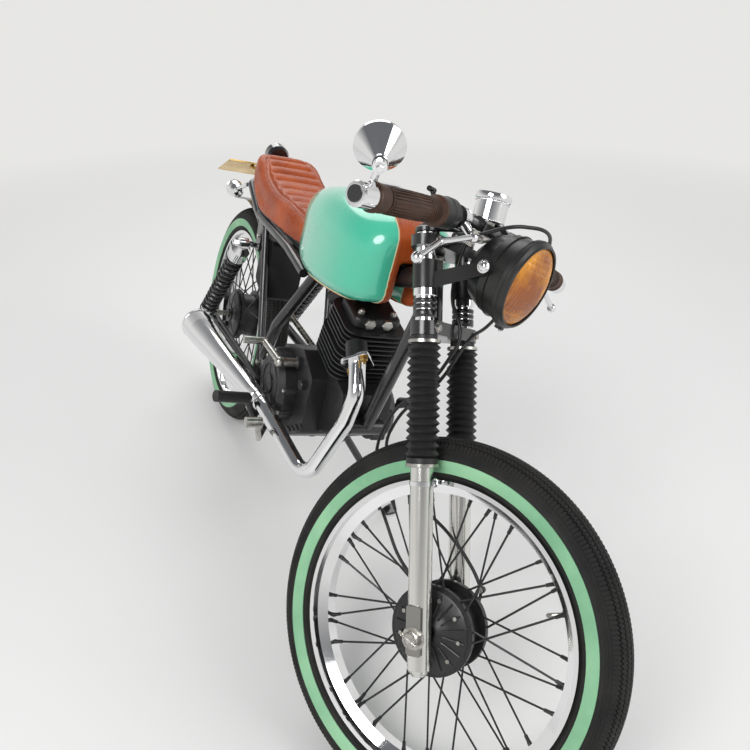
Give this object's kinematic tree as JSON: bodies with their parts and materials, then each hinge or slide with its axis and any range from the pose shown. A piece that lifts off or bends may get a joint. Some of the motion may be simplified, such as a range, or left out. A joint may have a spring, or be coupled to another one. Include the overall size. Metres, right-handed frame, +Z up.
{
  "type": "cafe racer motorcycle",
  "caption": "Small cafe racer motorcycle with a mint and leather tank, ribbed brown seat, whitewall tyres, fork gaiters, an amber headlight and a bar-end mirror.",
  "frame": {"origin": "on the floor, centre of the bounding box's bottom face", "axes": "+X towards the front wheel, +Y towards the rider's left, +Z up; the machine leans to its left on the side stand"},
  "size_m": [1.8497, 0.7034, 1.064],
  "materials": {
    "aluminium": "gloss",
    "amber_glass": "gloss",
    "black_plastic": "satin",
    "brass": "satin",
    "brown_leather": "satin",
    "chrome": "gloss",
    "engine_black": "satin",
    "frame_black": "gloss",
    "grip_brown": "matte",
    "lamp_plastic": "gloss",
    "mint_paint": "gloss",
    "rubber_black": "matte",
    "steel": "satin",
    "tyre_black": "matte",
    "whitewall_mint": "matte"
  },
  "bodies": {
    "frame": {"frame_spine": "frame_black", "frame_down_tube": "frame_black", "seat_rails": "frame_black", "rear_stays": "frame_black", "swingarm": "frame_black", "rear_shocks": "chrome", "shock_springs": "frame_black", "shock_hangers": "frame_black", "crankcase": "engine_black", "cylinder": "engine_black", "cylinder_head": "engine_black", "engine_covers": "engine_black", "carburettor": "engine_black", "foot_controls": "steel", "footpegs": "rubber_black", "exhaust_pipe": "chrome", "muffler": "chrome", "muffler_hanger": "frame_black", "drive_chain": "steel", "fuel_tank": "mint_paint", "tank_leather": "brown_leather", "seat": "brown_leather", "tail_lamp": "lamp_plastic", "number_plate": "brass", "indicators": "chrome", "battery_box": "black_plastic", "rear_mudguard": "frame_black", "rear_brake_plate": "engine_black", "brake_rod": "steel", "rear_axle": "steel", "stand_bracket": "frame_black"},
    "steering": {"fork_clamps": "frame_black", "fork_tubes": "chrome", "fork_gaiters": "rubber_black", "fork_lowers": "aluminium", "front_brake_plate": "engine_black", "control_cables": "black_plastic", "front_axle": "steel", "headlight_shell": "engine_black", "headlight_lens": "amber_glass", "speedometer": "chrome", "handlebar": "frame_black", "grips": "grip_brown", "bar_controls": "black_plastic", "levers": "chrome", "mirror": "chrome", "bar_end": "chrome"},
    "front_wheel": {"front_tyre": "tyre_black", "front_whitewalls": "whitewall_mint", "front_rim": "chrome", "front_hub": "engine_black"},
    "rear_wheel": {"rear_tyre": "tyre_black", "rear_whitewalls": "whitewall_mint", "rear_rim": "chrome", "rear_hub": "engine_black"},
    "side_stand": {"side_stand": "frame_black"}
  },
  "joints": [
    {"name": "steering", "type": "hinge", "parent": "frame", "child": "steering", "pos_m": [0.32128, 0.00316, 0.78504], "axis": [-0.4899, 0.2241, 0.8425], "range_deg": [-62, 0]},
    {"name": "front_wheel", "type": "hinge", "parent": "steering", "child": "front_wheel", "pos_m": [0.64494, -0.11455, 0.27812], "axis": [-0.4517, 0.7613, -0.4652], "continuous": true},
    {"name": "rear_wheel", "type": "hinge", "parent": "frame", "child": "rear_wheel", "pos_m": [-0.61593, -0.12988, 0.29984], "axis": [-0.0031, 0.9659, -0.2588], "continuous": true},
    {"name": "side_stand", "type": "hinge", "parent": "frame", "child": "side_stand", "pos_m": [-0.01878, -0.04003, 0.22609], "axis": [0.075, 0.9133, 0.4003], "range_deg": [0, 95]}
  ]
}
